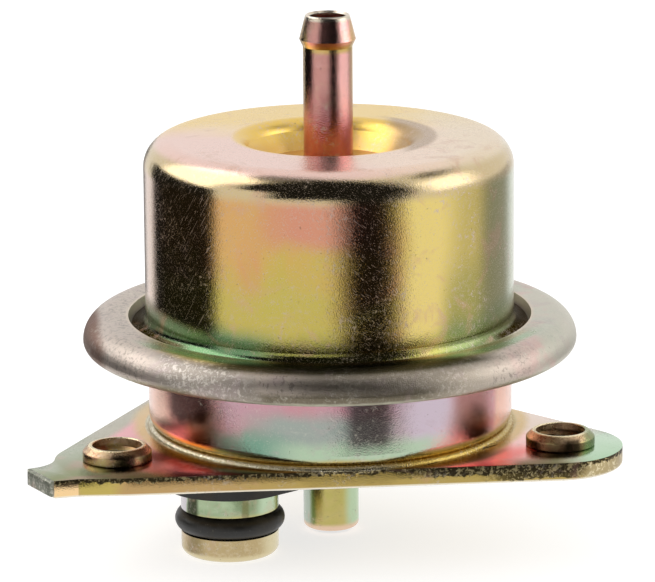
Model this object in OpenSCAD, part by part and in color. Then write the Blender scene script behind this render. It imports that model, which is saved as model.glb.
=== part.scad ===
// Fuel pressure regulator: a crimped diaphragm housing on a three-cornered mounting plate.
// The origin is on the housing's axis at the plate's underside. +Z points up to the vacuum
// nipple, +X runs along the plate's straight front edge, +Y to the back. Sizes in millimetres.

/* [Mounting plate] */
// Thickness of the plate
plate_t = 2.3; // [1.8:0.1:3]
// Radius of the two front corners
corner_r = 8.6; // [8:0.1:10]
// Radius of the back corner
back_corner_r = 6.5; // [5.5:0.1:10]
// Distance of the front corners' centres in front of the axis
front_y = 13.8; // [12:0.1:18]
// Distance of the right corner's centre from the axis
right_x = 25.8; // [24.5:0.1:32]
// Distance of the left corner's centre from the axis
left_x = 26.3; // [24.5:0.1:32]
// Distance of the back corner's centre behind the axis
back_y = 28.4; // [28:0.1:34]
// Distance of the back corner's centre to the left of the axis
back_x = 6.3; // [0:0.1:10]
// Direction of the locating tongue, seen from above
tongue_angle = 204; // [195:1:215]
// Length of the tongue from the left corner's centre
tongue_l = 11.9; // [11.4:0.1:14]
// Width of the tongue
tongue_w = 6.4; // [4:0.1:8]
// How far the tongue lies in front of the line through the corner's centre
tongue_shift = 1.05; // [0:0.05:2]
// Where the tongue leaves the front edge, to the left of the corner's centre
tongue_root = 6.2; // [5:0.1:7]
// How far the front edge runs back until there
tongue_dip = 0.4; // [0.1:0.05:1]
// Radius of the neck behind the tongue
neck_r = 4; // [2:0.1:4.5]
// Height of the collar around the housing's foot
collar_h = 0.7; // [0.7:0.05:1.5]
// Width of the collar's bead
collar_w = 1.4; // [0.8:0.1:1.4]
// How far the collar stands out past the housing wall
collar_lip = 0.75; // [0.3:0.05:1]

/* [Threaded bushes] */
// How far the front bushes stand outside their corners' centres
bush_out = 1; // [0:0.1:2]
// Outside diameter of a bush
bush_d = 8.4; // [7.5:0.1:10]
// Height of a bush above the plate
bush_h = 1.85; // [1.5:0.05:4]
// Diameter of the pressed shank in the plate
bush_shank_d = 7.4; // [6.6:0.1:7.4]
// Core diameter of the thread
thread_core_d = 5; // [4:0.1:5.6]
// Lead-in chamfer at the ends of the thread
thread_lead = 0.55; // [0.3:0.05:0.7]
// Chamfer on the bush's top edge
bush_chamfer = 0.75; // [0.2:0.05:0.8]

/* [Lower housing] */
// Outside radius of the lower housing
lower_r = 22.5; // [21.5:0.1:23]
// Sheet thickness of the lower housing
lower_t = 1.1; // [1:0.1:1.4]
// Height from the plate to the underside of the rim
lower_h = 9.95; // [9:0.05:14]
// Radius of the foot's edge
foot_r = 1.8; // [1.6:0.1:2.4]
// How far the crimped rim stands out past the upper housing's wall
rim_w = 7.75; // [7:0.05:11]
// Radius of the rim's lower bend
rim_low_r = 1.2; // [1:0.1:1.6]
// Radius of the rim's upper bend
rim_top_r = 2.9; // [2.5:0.1:3]
// How far the lip's edge leans outwards over its height
lip_lean = 0.4; // [0.2:0.1:1.5]
// Fillet under the rim
rim_fillet = 0.7; // [0.3:0.1:1.2]

/* [Upper housing] */
// Outside radius of the upper housing
upper_r = 22.75; // [22:0.05:25.5]
// Sheet thickness of the upper housing
upper_t = 1.1; // [0.9:0.1:1.3]
// Height from the clamped diaphragm to the top
upper_h = 24.4; // [20:0.1:30]
// Radius of the top edge
crown_r = 3.5; // [2.5:0.1:5]
// Fillet between the wall and the flange
flange_fillet = 1.6; // [1:0.1:1.6]
// Clearance between the flange's edge and the folded rim
flange_clear = 0.7; // [0.5:0.1:1]
// Depth of the dimple in the top
dimple_depth = 3.35; // [2.4:0.05:4]
// Radius of the dimple's floor
dimple_floor_r = 8.1; // [6:0.1:9]
// Radius of the edge where the dimple's wall starts
dimple_edge_r = 9.9; // [9.2:0.1:10.5]
// Radius where the dimple's shoulder meets the flat top
dimple_mouth_r = 11.9; // [11:0.1:13]
// Drop of the dimple's shoulder
shoulder_drop = 1.3; // [0.7:0.1:1.4]

/* [Vacuum nipple] */
// Height of the nipple above the dimple's floor
nipple_h = 18.5; // [14:0.1:26]
// Outside diameter of the nipple
nipple_d = 6.1; // [5:0.1:7]
// Bore of the nipple
nipple_bore_d = 4.5; // [3.4:0.1:4.8]
// Largest diameter of the barb
barb_d = 6.95; // [6.7:0.05:8]
// Diameter of the nipple's tip
tip_d = 5.5; // [5.1:0.1:5.8]
// Height of the barb's taper
barb_h = 3; // [2:0.1:4]
// Height of the bevel under the barb
barb_bevel = 0.9; // [0.5:0.1:1.5]
// Diameter of the collar that holds the nipple from inside
nipple_collar_d = 9; // [8:0.1:11]

/* [Inlet] */
// Distance of the inlet from the axis
inlet_offset = 15.5; // [13.5:0.1:15.6]
// Direction of the inlet, seen from above
inlet_angle = 211; // [190:1:230]
// Diameter of the spigot
spigot_d = 12; // [11:0.1:13]
// Length of the spigot below the plate
spigot_l = 11.5; // [10.8:0.1:14]
// Bore of the spigot
spigot_bore_d = 6.8; // [5:0.1:7]
// Diameter of the shank through plate and housing
spigot_shank_d = 9; // [8:0.1:9.2]
// Rounding of the spigot's end
spigot_round = 1; // [0.5:0.1:1.4]
// Distance from the spigot's end to the seal groove
groove_land = 2.9; // [2:0.1:3.4]
// Thickness of the seal ring
ring_t = 2.7; // [2.2:0.1:2.9]
// Outside diameter of the seal ring
ring_d = 13.5; // [13.1:0.1:14]
// Thickness of the gasket under the plate
gasket_t = 2.9; // [1.5:0.1:3]
// Width of the gasket around the spigot
gasket_rim = 2.1; // [1.5:0.1:3]
// Width of the gasket around the return tube
gasket_tube_rim = 3.6; // [2:0.1:4]

/* [Return tube] */
// Outside diameter of the return tube
tube_d = 6.9; // [6.5:0.1:7.6]
// Bore of the return tube
tube_bore_d = 5; // [4.4:0.1:5]
// Length of the tube below the plate
tube_l = 11.1; // [8:0.1:14]
// Rounding of the tube's end
tube_round = 0.7; // [0.3:0.05:0.9]
// Depth of the valve seat's shank in the tube
seat_shank_l = 2.6; // [2:0.1:3]
// Height of the valve seat's head
seat_head_h = 1.1; // [0.8:0.1:1.5]
// Height of the raised sealing land
seat_land_h = 0.6; // [0.4:0.1:1]
// Width of the sealing land
seat_land_w = 0.8; // [0.5:0.1:1]
// Bore of the valve seat
seat_bore_d = 3.2; // [2.4:0.1:3.6]

/* [Diaphragm and spring] */
// Thickness of the diaphragm
diaphragm_t = 0.8; // [0.6:0.1:1.2]
// Thickness of the spring plate
spring_plate_t = 1; // [0.8:0.1:1.4]
// Height of the spring plate's upturned wall
spring_plate_h = 3.5; // [2.5:0.1:5]
// Thickness of the washer under the diaphragm
washer_t = 1; // [0.8:0.1:1.4]
// Wire diameter of the main spring
wire_d = 2.4; // [2:0.1:2.6]
// Turns of the main spring, with one closed turn at each end
coil_turns = 5.5; // [4.5:0.5:6.5]

/* [Valve] */
// Diameter of the ball
ball_d = 4.4; // [4:0.1:4.8]
// Height of the ball's centre below the washer
ball_drop = 1.9; // [1.7:0.1:2.3]
// Distance from the ball's centre to its ground flat
ball_flat = 1.9; // [1.7:0.05:2]
// Diameter of the valve plate
valve_plate_d = 8.6; // [7.6:0.1:10]
// Thickness of the valve plate
valve_plate_t = 1; // [0.8:0.1:1.3]
// Outside diameter of the valve holder
holder_d = 10; // [8.4:0.1:12]
// Gap above the valve plate that lets it tilt under the holder
holder_clear = 0.3; // [0.2:0.05:0.5]
// Diameter of the rivet shank through the diaphragm
rivet_d = 6; // [5.4:0.1:7]
// Diameter of the closed rivet head
rivet_head_d = 9; // [8:0.1:11]
// Height of the closed rivet head
rivet_head_h = 1.1; // [0.8:0.1:1.5]
// Wire diameter of the ball's snap ring
clip_wire_d = 0.6; // [0.5:0.05:0.7]

/* [Hidden] */
$fn = 96;
// Overlap that keeps cutting faces clear of each other
eps = 0.1;
// Overlap that lets tangent outlines cross instead of only touching
seam = 0.01;
// Radial gap of a pressed or brazed fit
press_gap = 0.02;
// Gap between the collar and the housing's foot
collar_gap = 0.03;
// Radial gap between a seal and what it sits on
seal_gap = 0.05;
// Gap between the closed valve plate and its seat
seat_gap = 0.02;
// Gap around the ball in its socket
ball_gap = 0.05;
// Gap between the spring and what it touches
spring_gap = 0.04;
// Gap between the spring's turns and the dimple that centres them
spring_centre_gap = 0.33;
// Gap between the spring and the spring plate's wall
spring_wall_gap = 0.7;
// Gap between the diaphragm's roll and the walls beside it
roll_gap = 0.45;
// Gap between the lip and the fillet at the upper housing's foot
lip_clear = 0.15;
// Height of the holder's lip under the snap ring
clip_lip = 0.25;
// Fall of the rolled edge where two sheets meet the diaphragm
sheet_edge_r = 1;
// Sides of the spring's wire and rings in each of its turns
wire_sides = 10;
rings_per_turn = 24;

// Heights, from the plate up
z_plate = plate_t;
z_floor = z_plate + lower_t;
z_rim = z_plate + lower_h;
z_clamp = z_rim + lower_t;
z_cup = z_clamp + diaphragm_t;
z_fold = z_cup + upper_t;
z_rim_top = z_fold + lower_t;
z_top = z_cup + upper_h;
z_dimple = z_top - dimple_depth;
z_roof = z_top - upper_t;
z_nipple_tip = z_dimple + nipple_h;
z_spring_plate = z_cup + spring_plate_t;
z_washer = z_clamp - washer_t;
z_ball = z_washer - ball_drop;
z_flat = z_ball - ball_flat;
z_holder = z_flat + holder_clear;
z_seat = z_flat - valve_plate_t - seat_gap;
z_tube_top = z_seat - seat_land_h - seat_head_h;

// The crimped rim follows the upper housing's wall
rim_r = upper_r + rim_w;
lip_low_r = upper_r + flange_fillet + lip_clear;
lip_top_r = lip_low_r + lip_lean;

// Radii of the sheet's inner side
chamber_r = lower_r - lower_t;
cup_in_r = upper_r - upper_t;
flange_r = rim_r - lower_t - flange_clear;

// The dimple's wall seen from inside, one sheet thickness further out
wall_run = dimple_edge_r - dimple_floor_r;
wall_rise = dimple_depth - shoulder_drop;
wall_slant = norm([wall_run, wall_rise]);
boss_low_r = dimple_floor_r + upper_t * (wall_slant - wall_run) / wall_rise;
boss_top_r = boss_low_r + dimple_depth * wall_run / wall_rise;
shoulder_dx = dimple_mouth_r - dimple_edge_r;
shoulder_r = (pow(shoulder_dx, 2) + pow(shoulder_drop, 2)) / (2 * shoulder_drop);

// The spring sits around the dimple, and the plate's wall and the diaphragm's roll follow it
coil_r = boss_top_r + spring_centre_gap + wire_d / 2;
plate_wall_r = coil_r + wire_d / 2 + spring_wall_gap + spring_plate_t;
roll_mid_r = (plate_wall_r + cup_in_r) / 2;
roll_out_r = (cup_in_r - plate_wall_r) / 2 - roll_gap;
washer_r = plate_wall_r - sheet_edge_r;

// Corners of the plate, counter-clockwise from the right
corners = [[right_x, -front_y], [-back_x, back_y], [-left_x, -front_y]];
corner_radii = [corner_r, back_corner_r, corner_r];
bushes = [corners[0] + [bush_out, 0], corners[1], corners[2] - [bush_out, 0]];
inlet_at = inlet_offset * [cos(inlet_angle), sin(inlet_angle)];

// Seal groove in the spigot
spigot_r = spigot_d / 2;
ring_mid_r = (ring_d - ring_t) / 2;
groove_r = ring_mid_r - ring_t / 2 - seal_gap;
groove_w = ring_t + 4 * seal_gap;
z_groove = groove_land - spigot_l;

// Swaged collars that hold the spigot and the tube from inside the chamber
swage_h = 0.7;
swage_w = 0.6;

// The snap ring lies in the holder's foot, under the ball's widest part
clip_r = clip_wire_d / 2;
z_clip = z_holder + clip_lip + press_gap + clip_r;
clip_mid_r = sqrt(pow(ball_d / 2 + clip_r + press_gap, 2) - pow(z_ball - z_clip, 2));
// Angle left open between the snap ring's ends
clip_gap_angle = 50;

zinc_gold = [0.80, 0.70, 0.36];
zinc_rose = [0.78, 0.60, 0.50];
zinc_mint = [0.66, 0.74, 0.58];
rubber_black = [0.09, 0.08, 0.08];
steel_grey = [0.62, 0.63, 0.65];
spring_steel = [0.40, 0.41, 0.44];

// The area between a square corner at the origin and an arc: it fills or cuts a corner
module corner_area(r) {
    difference() {
        translate([-eps, -eps])
            square(r + eps);
        translate([r, r])
            circle(r);
    }
}

// Tangent polygon of two circles, the middle part of their common outline
module tangent_strip(p, pr, q, qr) {
    along = q - p;
    lean = acos((pr - qr) / norm(along));
    way = atan2(along[1], along[0]);
    right = [cos(way - lean), sin(way - lean)];
    left = [cos(way + lean), sin(way + lean)];
    polygon([
        p + (pr - seam) * right,
        q + (qr - seam) * right,
        q + (qr - seam) * left,
        p + (pr - seam) * left
    ]);
}

// Mounting plate

module tongue_outline() {
    way = [cos(tongue_angle), sin(tongue_angle)];
    side = [-way[1], way[0]];
    front = tongue_w / 2 + tongue_shift;
    back = tongue_w / 2 - tongue_shift;
    neck_x = sqrt(pow(corner_r + neck_r, 2) - pow(back + neck_r, 2));
    translate(corners[2]) {
        polygon([
            [0, 0],
            [0, 2 * seam - corner_r],
            [-tongue_root, tongue_dip - corner_r],
            tongue_l * way + front * side,
            tongue_l * way - back * side,
            -back * side
        ]);
        rotate(tongue_angle) mirror([0, 1])
            difference() {
                polygon([[0, 0], [neck_x, 0], [neck_x, back + neck_r]]);
                translate([neck_x, back + neck_r])
                    circle(neck_r + seam);
            }
    }
}

module plate_outline() {
    polygon(corners);
    for (i = [0:2]) {
        j = (i + 1) % 3;
        translate(corners[i])
            circle(corner_radii[i]);
        tangent_strip(corners[i], corner_radii[i], corners[j], corner_radii[j]);
    }
    tongue_outline();
}

module collar_section() {
    bead_r = collar_w / 2;
    bead_x = lower_r + collar_lip - bead_r;
    bead_z = z_plate + collar_h - bead_r;
    difference() {
        union() {
            translate([bead_x - bead_r, z_plate - eps])
                square([collar_w, bead_z - z_plate + eps]);
            translate([bead_x, bead_z])
                circle(bead_r);
        }
        translate([lower_r - foot_r, z_plate + foot_r])
            circle(foot_r + collar_gap);
        translate([0, z_plate + foot_r])
            square([lower_r + collar_gap, lower_h]);
    }
}

module base_plate() {
    color(zinc_gold)
        difference() {
            union() {
                linear_extrude(plate_t)
                    plate_outline();
                intersection() {
                    rotate_extrude()
                        collar_section();
                    linear_extrude(z_plate + collar_h + eps)
                        plate_outline();
                }
            }
            for (at = bushes)
                translate([at[0], at[1], -eps])
                    cylinder(d = bush_shank_d + 2 * press_gap, h = plate_t + 2 * eps);
            translate([0, 0, -eps])
                cylinder(d = tube_d + 2 * press_gap, h = plate_t + 2 * eps);
            translate([inlet_at[0], inlet_at[1], -eps])
                cylinder(d = spigot_shank_d + 2 * press_gap, h = plate_t + 2 * eps);
        }
}

module bush_section() {
    core_r = thread_core_d / 2;
    bush_r = bush_d / 2;
    bush_top = plate_t + bush_h;
    polygon([
        [core_r + thread_lead, 0],
        [bush_shank_d / 2, 0],
        [bush_shank_d / 2, plate_t],
        [bush_r, plate_t],
        [bush_r, bush_top - bush_chamfer],
        [bush_r - bush_chamfer, bush_top],
        [core_r + thread_lead, bush_top],
        [core_r, bush_top - thread_lead],
        [core_r, thread_lead]
    ]);
}

module threaded_bushes() {
    color(zinc_gold)
        for (at = bushes)
            translate([at[0], at[1], 0])
                rotate_extrude()
                    bush_section();
}

// Lower housing with the crimped rim

module lower_section() {
    difference() {
        union() {
            translate([0, z_plate])
                square([lower_r, z_clamp - z_plate]);
            translate([0, z_rim])
                square([rim_r, z_rim_top - z_rim]);
            translate([lower_r, z_rim]) mirror([0, 1])
                corner_area(rim_fillet);
        }
        translate([lower_r, z_plate]) mirror([1, 0])
            corner_area(foot_r);
        translate([rim_r, z_rim]) mirror([1, 0])
            corner_area(rim_low_r);
        translate([rim_r, z_rim_top]) rotate(180)
            corner_area(rim_top_r);
        chamber_section();
        fold_section();
    }
}

// Fuel chamber below the diaphragm
module chamber_section() {
    bend_r = foot_r - lower_t;
    difference() {
        translate([-eps, z_floor])
            square([chamber_r + eps, z_rim_top - z_floor]);
        translate([chamber_r, z_floor]) mirror([1, 0])
            corner_area(bend_r);
    }
    translate([chamber_r, z_clamp]) mirror([0, 1])
        corner_area(sheet_edge_r);
}

// Space inside the fold, and the mouth that its lip leaves open
module fold_section() {
    difference() {
        translate([-eps, z_clamp])
            square([rim_r - lower_t + eps, z_fold - z_clamp]);
        translate([rim_r - lower_t, z_fold]) rotate(180)
            corner_area(rim_top_r - lower_t);
    }
    polygon([
        [-eps, z_fold - eps],
        [lip_low_r, z_fold - eps],
        [lip_low_r, z_fold],
        [lip_top_r, z_rim_top],
        [lip_top_r, z_rim_top + eps],
        [-eps, z_rim_top + eps]
    ]);
}

module lower_housing() {
    color(zinc_rose)
        difference() {
            rotate_extrude()
                lower_section();
            translate([0, 0, z_plate - eps])
                cylinder(d = tube_d + 2 * press_gap, h = lower_t + 2 * eps);
            translate([inlet_at[0], inlet_at[1], z_plate - eps])
                cylinder(d = spigot_shank_d + 2 * press_gap, h = lower_t + 2 * eps);
        }
}

// Upper housing

module dimple_section() {
    difference() {
        polygon([
            [-eps, z_dimple],
            [dimple_floor_r, z_dimple],
            [dimple_edge_r, z_top - shoulder_drop],
            [dimple_mouth_r, z_top - shoulder_drop],
            [dimple_mouth_r, z_top + eps],
            [-eps, z_top + eps]
        ]);
        translate([dimple_mouth_r, z_top - shoulder_r])
            circle(shoulder_r);
    }
}

// Spring chamber above the diaphragm, with the dimple's boss standing into it
module spring_chamber_section() {
    difference() {
        translate([-eps, z_cup - eps])
            square([cup_in_r + eps, z_roof - z_cup + eps]);
        translate([cup_in_r, z_roof]) rotate(180)
            corner_area(crown_r - upper_t);
        polygon([
            [-2 * eps, z_dimple - upper_t],
            [boss_low_r, z_dimple - upper_t],
            [boss_top_r, z_roof],
            [boss_top_r, z_roof + eps],
            [-2 * eps, z_roof + eps]
        ]);
    }
    translate([cup_in_r, z_cup])
        corner_area(sheet_edge_r);
}

module upper_section() {
    difference() {
        union() {
            translate([0, z_cup])
                square([upper_r, upper_h]);
            translate([0, z_cup])
                square([flange_r, upper_t]);
            translate([upper_r, z_fold])
                corner_area(flange_fillet);
        }
        translate([upper_r, z_top]) rotate(180)
            corner_area(crown_r);
        translate([flange_r, z_fold]) rotate(180)
            corner_area(upper_t);
        dimple_section();
        spring_chamber_section();
    }
}

module upper_housing() {
    color(zinc_gold)
        difference() {
            rotate_extrude()
                upper_section();
            translate([0, 0, z_dimple - upper_t - eps])
                cylinder(d = nipple_d + 2 * press_gap, h = upper_t + 2 * eps);
        }
}

module vacuum_nipple() {
    bore_r = nipple_bore_d / 2;
    wall_r = nipple_d / 2;
    z_under = z_dimple - upper_t;
    z_barb = z_nipple_tip - barb_h;
    tip_lead = (tip_d - nipple_bore_d) / 4;
    color(zinc_rose)
        rotate_extrude()
            polygon([
                [bore_r, z_under - upper_t],
                [nipple_collar_d / 2, z_under - upper_t],
                [nipple_collar_d / 2, z_under],
                [wall_r, z_under],
                [wall_r, z_barb - barb_bevel],
                [barb_d / 2, z_barb],
                [tip_d / 2, z_nipple_tip - tip_lead / 2],
                [tip_d / 2 - tip_lead / 2, z_nipple_tip],
                [bore_r + tip_lead, z_nipple_tip],
                [bore_r, z_nipple_tip - tip_lead]
            ]);
}

// Inlet

module spigot_section() {
    bore_r = spigot_bore_d / 2;
    shank_r = spigot_shank_d / 2;
    difference() {
        union() {
            translate([0, -spigot_l])
                square([spigot_r, spigot_l]);
            translate([0, -eps])
                square([shank_r, z_floor + swage_h + eps]);
            translate([0, z_floor])
                square([shank_r + swage_w, swage_h]);
        }
        translate([spigot_r, -spigot_l]) mirror([1, 0])
            corner_area(spigot_round);
        translate([groove_r, z_groove])
            square([spigot_r, groove_w]);
        translate([-eps, -spigot_l - eps])
            square([bore_r + eps, spigot_l + z_floor + swage_h + 2 * eps]);
    }
}

module inlet_spigot() {
    color(zinc_mint)
        translate([inlet_at[0], inlet_at[1], 0])
            rotate_extrude()
                spigot_section();
}

module inlet_o_ring() {
    color(rubber_black)
        translate([inlet_at[0], inlet_at[1], z_groove + groove_w / 2])
            rotate_extrude()
                translate([ring_mid_r, 0])
                    circle(d = ring_t);
}

module port_gasket() {
    color(rubber_black)
        translate([0, 0, -gasket_t])
            linear_extrude(gasket_t)
                difference() {
                    union() {
                        tangent_strip([0, 0], tube_d / 2 + gasket_tube_rim,
                            inlet_at, spigot_r + gasket_rim);
                        circle(tube_d / 2 + gasket_tube_rim);
                        translate(inlet_at)
                            circle(spigot_r + gasket_rim);
                    }
                    circle(tube_d / 2 + seal_gap);
                    translate(inlet_at)
                        circle(spigot_r + seal_gap);
                }
}

// Return tube and valve seat

module tube_section() {
    bore_r = tube_bore_d / 2;
    wall_r = tube_d / 2;
    seat_pocket_r = (bore_r + wall_r) / 2;
    difference() {
        union() {
            translate([0, -tube_l])
                square([wall_r, tube_l + z_tube_top]);
            translate([0, z_floor])
                square([wall_r + swage_w, swage_h]);
        }
        translate([wall_r, -tube_l]) mirror([1, 0])
            corner_area(tube_round);
        translate([-eps, -tube_l - eps])
            square([bore_r + eps, tube_l + z_tube_top + 2 * eps]);
        translate([-eps, z_tube_top - seat_shank_l])
            square([seat_pocket_r + eps, seat_shank_l + eps]);
    }
}

module return_tube() {
    color(zinc_mint)
        rotate_extrude()
            tube_section();
}

module valve_seat() {
    bore_r = seat_bore_d / 2;
    shank_r = (tube_bore_d + tube_d) / 4 - press_gap;
    head_r = tube_d / 2 + swage_w;
    color(steel_grey)
        rotate_extrude()
            polygon([
                [bore_r, z_tube_top - seat_shank_l],
                [shank_r, z_tube_top - seat_shank_l],
                [shank_r, z_tube_top],
                [head_r, z_tube_top],
                [head_r, z_tube_top + seat_head_h],
                [bore_r + seat_land_w, z_tube_top + seat_head_h],
                [bore_r + seat_land_w, z_seat],
                [bore_r, z_seat]
            ]);
}

// Diaphragm and what it carries

module diaphragm_section() {
    roll_in_r = roll_out_r - diaphragm_t;
    rivet_hole_r = rivet_d / 2 + press_gap;
    translate([rivet_hole_r, z_clamp])
        square([roll_mid_r - roll_in_r - rivet_hole_r, diaphragm_t]);
    translate([roll_mid_r + roll_in_r, z_clamp])
        square([flange_r - roll_mid_r - roll_in_r, diaphragm_t]);
    intersection() {
        translate([roll_mid_r, z_clamp])
            difference() {
                circle(roll_out_r);
                circle(roll_in_r);
            }
        translate([0, z_clamp])
            square([flange_r, roll_out_r + eps]);
    }
}

module diaphragm() {
    color(rubber_black)
        rotate_extrude()
            diaphragm_section();
}

module spring_plate_section() {
    rivet_hole_r = rivet_d / 2 + press_gap;
    difference() {
        translate([rivet_hole_r, z_cup])
            square([plate_wall_r - rivet_hole_r, spring_plate_h]);
        translate([rivet_hole_r - eps, z_spring_plate])
            square([plate_wall_r - spring_plate_t - rivet_hole_r + eps, spring_plate_h]);
        translate([plate_wall_r, z_cup]) mirror([1, 0])
            corner_area(sheet_edge_r);
    }
    translate([plate_wall_r - spring_plate_t, z_spring_plate]) mirror([1, 0])
        corner_area(sheet_edge_r / 2);
}

module spring_plate() {
    color(steel_grey)
        rotate_extrude()
            spring_plate_section();
}

module diaphragm_washer() {
    rivet_hole_r = rivet_d / 2 + press_gap;
    color(steel_grey)
        rotate_extrude()
            difference() {
                translate([rivet_hole_r, z_washer])
                    square([washer_r - rivet_hole_r, washer_t]);
                translate([washer_r, z_clamp]) rotate(180)
                    corner_area(washer_t / 2);
            }
}

// Valve

module holder_section() {
    socket_r = ball_d / 2 + ball_gap;
    difference() {
        union() {
            translate([0, z_holder])
                square([holder_d / 2, z_washer - z_holder]);
            translate([0, z_washer - eps])
                square([rivet_d / 2, z_spring_plate - z_washer + rivet_head_h]);
            translate([0, z_spring_plate])
                square([rivet_head_d / 2, rivet_head_h]);
        }
        translate([rivet_head_d / 2, z_spring_plate + rivet_head_h]) rotate(180)
            corner_area(rivet_head_h / 2);
        translate([0, z_ball])
            circle(socket_r);
        translate([-eps, z_holder - eps])
            square([socket_r + eps, z_ball - z_holder + eps]);
        translate([-eps, z_clip - clip_r - press_gap])
            square([clip_mid_r + clip_r + press_gap + eps, clip_wire_d + 2 * press_gap]);
        translate([-socket_r - eps, z_holder - eps])
            square([socket_r + eps, z_washer - z_holder + rivet_d]);
    }
}

module valve_holder() {
    color(steel_grey)
        rotate_extrude()
            holder_section();
}

module valve_ball() {
    color(steel_grey)
        difference() {
            translate([0, 0, z_ball])
                sphere(d = ball_d);
            translate([-ball_d, -ball_d, z_flat - ball_d])
                cube([2 * ball_d, 2 * ball_d, ball_d]);
        }
}

module ball_retainer() {
    color(spring_steel)
        translate([0, 0, z_clip])
            rotate_extrude(angle = 360 - clip_gap_angle)
                translate([clip_mid_r, 0])
                    circle(clip_r);
}

module valve_plate() {
    edge = valve_plate_t / 4;
    plate_r = valve_plate_d / 2;
    z_low = z_flat - valve_plate_t;
    color(steel_grey)
        rotate_extrude()
            polygon([
                [0, z_low],
                [plate_r - edge, z_low],
                [plate_r, z_low + edge],
                [plate_r, z_flat - edge],
                [plate_r - edge, z_flat],
                [0, z_flat]
            ]);
}

// Main spring: a wire swept along a coil whose end turns are closed

coil_low = z_spring_plate + wire_d / 2 + spring_gap;
coil_high = z_roof - wire_d / 2 - spring_gap;
closed_pitch = wire_d + spring_gap;
open_pitch = (coil_high - coil_low - 2 * closed_pitch) / (coil_turns - 2);

function coil_z(turn) =
    turn < 1 ? coil_low + turn * closed_pitch
    : turn > coil_turns - 1 ? coil_high - (coil_turns - turn) * closed_pitch
    : coil_low + closed_pitch + (turn - 1) * open_pitch;

function wire_ring(turn) = [
    for (side = [0:wire_sides - 1])
        let (
            around = 360 * side / wire_sides,
            out = coil_r + wire_d / 2 * cos(around)
        )
        [out * cos(360 * turn), out * sin(360 * turn), coil_z(turn) + wire_d / 2 * sin(around)]
];

module main_spring() {
    rings = coil_turns * rings_per_turn;
    points = [for (i = [0:rings]) each wire_ring(i / rings_per_turn)];
    sides = [
        for (i = [0:rings - 1], s = [0:wire_sides - 1])
            let (next = (s + 1) % wire_sides)
            [i * wire_sides + s, (i + 1) * wire_sides + s,
                (i + 1) * wire_sides + next, i * wire_sides + next]
    ];
    first = [for (s = [0:wire_sides - 1]) s];
    last = [for (s = [wire_sides - 1:-1:0]) rings * wire_sides + s];
    color(spring_steel)
        polyhedron(points, concat(sides, [first, last]), convexity = 8);
}

upper_housing();
vacuum_nipple();
lower_housing();
base_plate();
threaded_bushes();
inlet_spigot();
inlet_o_ring();
port_gasket();
return_tube();
valve_seat();
diaphragm();
spring_plate();
diaphragm_washer();
valve_holder();
valve_ball();
ball_retainer();
valve_plate();
main_spring();
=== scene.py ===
import math
import bpy
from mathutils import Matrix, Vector


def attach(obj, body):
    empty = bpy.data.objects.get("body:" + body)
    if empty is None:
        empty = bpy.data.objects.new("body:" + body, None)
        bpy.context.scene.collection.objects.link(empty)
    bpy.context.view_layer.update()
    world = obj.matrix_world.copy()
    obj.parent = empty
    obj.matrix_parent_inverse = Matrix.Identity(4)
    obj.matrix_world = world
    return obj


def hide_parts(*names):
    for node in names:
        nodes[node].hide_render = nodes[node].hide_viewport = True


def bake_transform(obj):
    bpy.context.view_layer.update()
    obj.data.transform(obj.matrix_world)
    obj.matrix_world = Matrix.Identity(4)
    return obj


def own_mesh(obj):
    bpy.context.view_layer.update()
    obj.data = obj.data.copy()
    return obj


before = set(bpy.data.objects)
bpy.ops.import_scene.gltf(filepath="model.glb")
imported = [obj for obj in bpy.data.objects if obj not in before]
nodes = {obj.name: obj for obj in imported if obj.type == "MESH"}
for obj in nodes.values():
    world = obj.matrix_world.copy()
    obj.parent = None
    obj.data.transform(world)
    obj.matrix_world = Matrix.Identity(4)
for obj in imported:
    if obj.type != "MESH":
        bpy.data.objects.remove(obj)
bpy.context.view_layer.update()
mm = 0.001
bpy.context.scene.view_settings.view_transform = "Standard"
print("frame loaded with", len(nodes), "nodes")


# selection and small modelling helpers

weld = 0.002 * mm                   # points closer than this are one point
flatAngle = math.radians(0.2)       # faces that turn less than this are one face


def objectMode():
    bpy.ops.object.mode_set(mode="OBJECT")


def editMode():
    bpy.ops.object.mode_set(mode="EDIT")


def clearSelection():
    if bpy.context.mode != "OBJECT":
        objectMode()
    bpy.ops.object.select_all(action="DESELECT")


def pick(piece, *others):
    # selects the pieces, and the first one is active
    clearSelection()
    for each in (piece, *others):
        each.select_set(True)
    bpy.context.view_layer.objects.active = piece


def editAll(piece):
    pick(piece)
    editMode()
    bpy.ops.mesh.select_mode(type="VERT")
    bpy.ops.mesh.select_all(action="SELECT")


def startPicking(piece, kind):
    # nothing stays selected, and edges or faces can then be picked in code
    editAll(piece)
    bpy.ops.mesh.select_mode(type=kind)
    bpy.ops.mesh.select_all(action="DESELECT")
    objectMode()


def selectEdges(piece, wanted):
    # picks edges by a test on their two end points, then goes to edit mode
    startPicking(piece, "EDGE")
    points = piece.data.vertices
    for edge in piece.data.edges:
        a, b = (points[i].co for i in edge.vertices)
        edge.select = wanted(a, b)
    editMode()


def turnOutwards(piece):
    editAll(piece)
    bpy.ops.mesh.normals_make_consistent(inside=False)
    objectMode()


def copyMesh(source, newName):
    piece = bpy.data.objects.new(newName, source.data.copy())
    bpy.context.scene.collection.objects.link(piece)
    return piece


def copyNode(name, newName):
    # the copy's triangles are merged, and flat faces become one again
    piece = copyMesh(nodes[name], newName)
    piece.data.materials.clear()
    pick(piece)
    bpy.ops.mesh.customdata_custom_splitnormals_clear()
    editAll(piece)
    bpy.ops.mesh.remove_doubles(threshold=weld)
    bpy.ops.mesh.dissolve_limited(angle_limit=flatAngle)
    objectMode()
    return piece


def smooth(piece, angle):
    pick(piece)
    bpy.ops.object.shade_smooth_by_angle(angle=math.radians(angle))


# camera at the photograph's angle

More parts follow.
